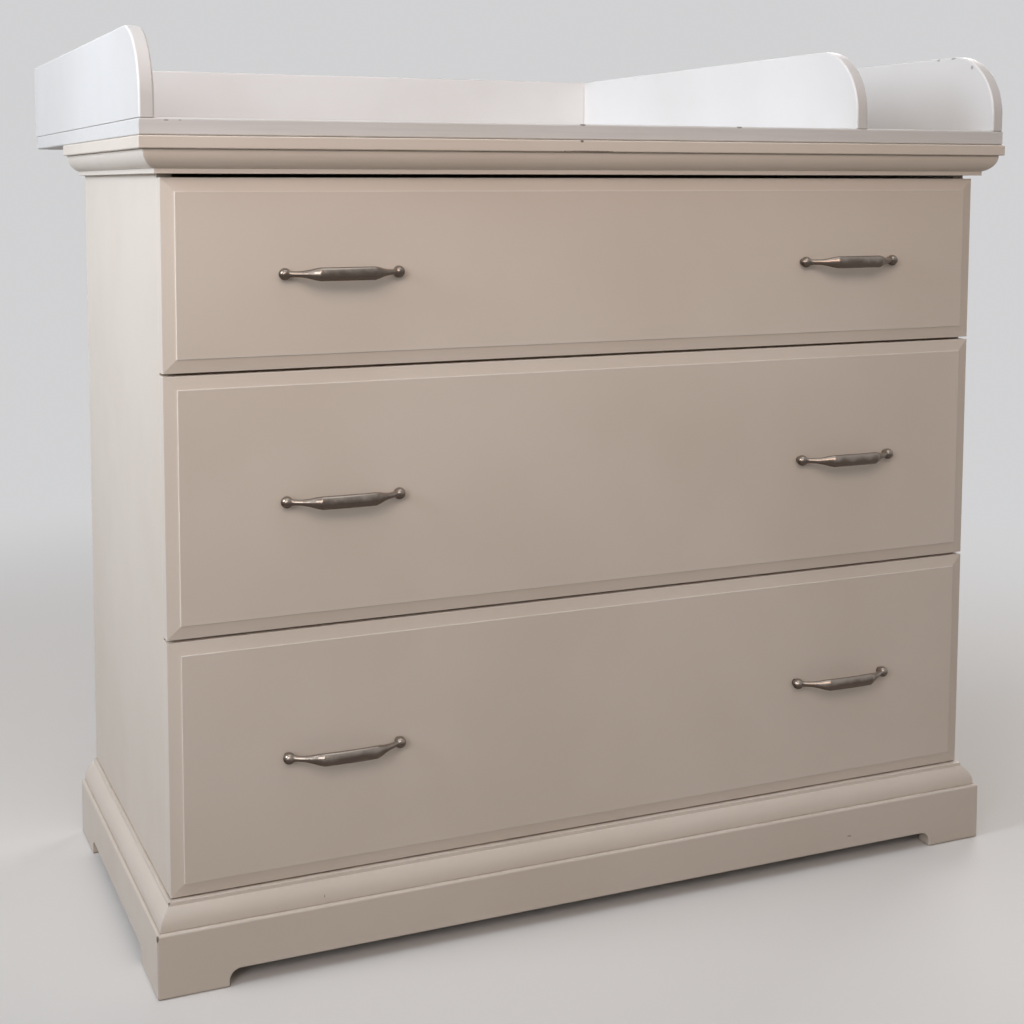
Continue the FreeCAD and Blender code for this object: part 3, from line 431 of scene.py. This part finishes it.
dress(("side_panel_left", "side_panel_right", "base_rail_front"), cream, BOARD_ARRIS)
dress(("dresser_top",), cream, TOP_ARRIS)
dress(("crown_front", "crown_left", "crown_right"), cream, MOULDING_ARRIS)
dress(("base_moulding_front", "base_moulding_left", "base_moulding_right"), cream,
      MOULDING_ARRIS)
dress(("plinth_front", "plinth_left", "plinth_right"), cream, PLINTH_ARRIS)
dress([f"drawer_{d}_front" for d in drawers], cream_less_dust_and_shade, FRONT_ARRIS, FRONT_EASED_FROM)
dress(("changing_board",), board_white, TOP_ARRIS)
dress(("topper_side_left", "topper_divider", "topper_side_right", "topper_back"), cool_white,
      TOP_ARRIS)
dress(("bottom_panel", "rail_upper", "rail_lower", "top_rail_front", "top_rail_back",
       "base_rail_back", "corner_blocks"), pine, BOARD_ARRIS)
dress([f"drawer_{d}_side_{s}" for d in drawers for s in sides], pine_deep, TOP_ARRIS)
dress([f"drawer_{d}_back" for d in drawers], pine, BOARD_ARRIS)
dress([f"runner_{d}_{s}" for d in drawers for s in sides], beech, MOULDING_ARRIS)
dress(["back_panel"] + [f"drawer_{d}_bottom" for d in drawers], fibre, SHEET_ARRIS)
dress([f"handle_{d}_{s}" for d in drawers for s in sides], handles_metal)
dress(["runner_screws", "topper_screws", "bracket_screws", "fixing_brackets"]
      + [f"handle_bolts_{d}" for d in drawers], plated, METAL_ARRIS)


# ------------------------------------------------------ stage, light, camera


def pale_stage():
    """A pale floor that takes the shadow and fades into the backdrop far out."""
    bpy.ops.mesh.primitive_circle_add(vertices=96, radius=FLOOR_RADIUS, fill_type="NGON",
                                      location=(0.0, 0.0, -FLOOR_GAP))
    floor = bpy.context.object
    floor.name = "studio_floor"
    g = Finish("pale_studio_floor")
    g.shader.inputs["Roughness"].default_value = 0.75
    glow = g.add("ShaderNodeEmission")
    glow.inputs["Color"].default_value = (*BACKDROP, 1.0)
    glow.inputs["Strength"].default_value = 1.0
    far = g.add("ShaderNodeVectorMath", operation="LENGTH")
    g.link(g.where, far.inputs[0])
    fade = g.remap(far.outputs["Value"], FADE_FROM, FADE_TO, 0.0, 1.0, True)
    seen = g.plain_rays()
    g.put(g.shader.inputs["Base Color"], g.mix(seen, FLOOR_BOUNCE, FLOOR_SEEN))
    blend = g.add("ShaderNodeMixShader")
    g.link(g.maths("MULTIPLY", fade, seen), blend.inputs["Fac"])
    g.link(g.shader.outputs["BSDF"], blend.inputs[1])
    g.link(glow.outputs["Emission"], blend.inputs[2])
    g.link(blend.outputs["Shader"], g.out.inputs["Surface"])
    floor.data.materials.append(g.material)


def studio_world():
    """Weak soft light on the object, and a plain pale backdrop where it is seen."""
    world = bpy.data.worlds.new("soft_studio")
    scene.world = world
    g = Graph(world)
    out = g.add("ShaderNodeOutputWorld")
    soft = g.add("ShaderNodeBackground")
    soft.inputs["Color"].default_value = (*SOFT_LIGHT, 1.0)
    soft.inputs["Strength"].default_value = SOFT_STRENGTH
    shown = g.add("ShaderNodeBackground")
    shown.inputs["Color"].default_value = (*BACKDROP, 1.0)
    shown.inputs["Strength"].default_value = 1.0
    blend = g.add("ShaderNodeMixShader")
    g.link(g.plain_rays(), blend.inputs["Fac"])
    g.link(soft.outputs["Background"], blend.inputs[1])
    g.link(shown.outputs["Background"], blend.inputs[2])
    g.link(blend.outputs["Shader"], out.inputs["Surface"])


def softbox(name, place, aim, width, height, watts, colour, spread):
    lamp = bpy.data.lights.new(name, "AREA")
    lamp.shape = "RECTANGLE"
    lamp.size = width
    lamp.size_y = height
    lamp.energy = watts
    lamp.color = colour
    lamp.spread = math.radians(spread)
    item = bpy.data.objects.new(name, lamp)
    scene.collection.objects.link(item)
    item.location = place
    item.rotation_euler = (Vector(aim) - Vector(place)).to_track_quat("-Z", "Y").to_euler()


def camera():
    """The photograph's viewpoint; the shift keeps its nearly upright verticals."""
    lens = bpy.data.cameras.new("viewpoint")
    lens.sensor_width = SENSOR_WIDTH
    lens.lens = FOCAL_LENGTH
    lens.shift_x, lens.shift_y = LENS_SHIFT
    lens.clip_end = FAR_CLIP
    item = bpy.data.objects.new("viewpoint", lens)
    scene.collection.objects.link(item)
    item.location = CAMERA_PLACE
    item.rotation_euler = (math.pi / 2 - CAMERA_DOWN, 0.0, CAMERA_TURN)
    scene.camera = item


pale_stage()
studio_world()
for lamp_values in LAMPS:
    softbox(*lamp_values)
camera()

scene.view_settings.view_transform = "Standard"
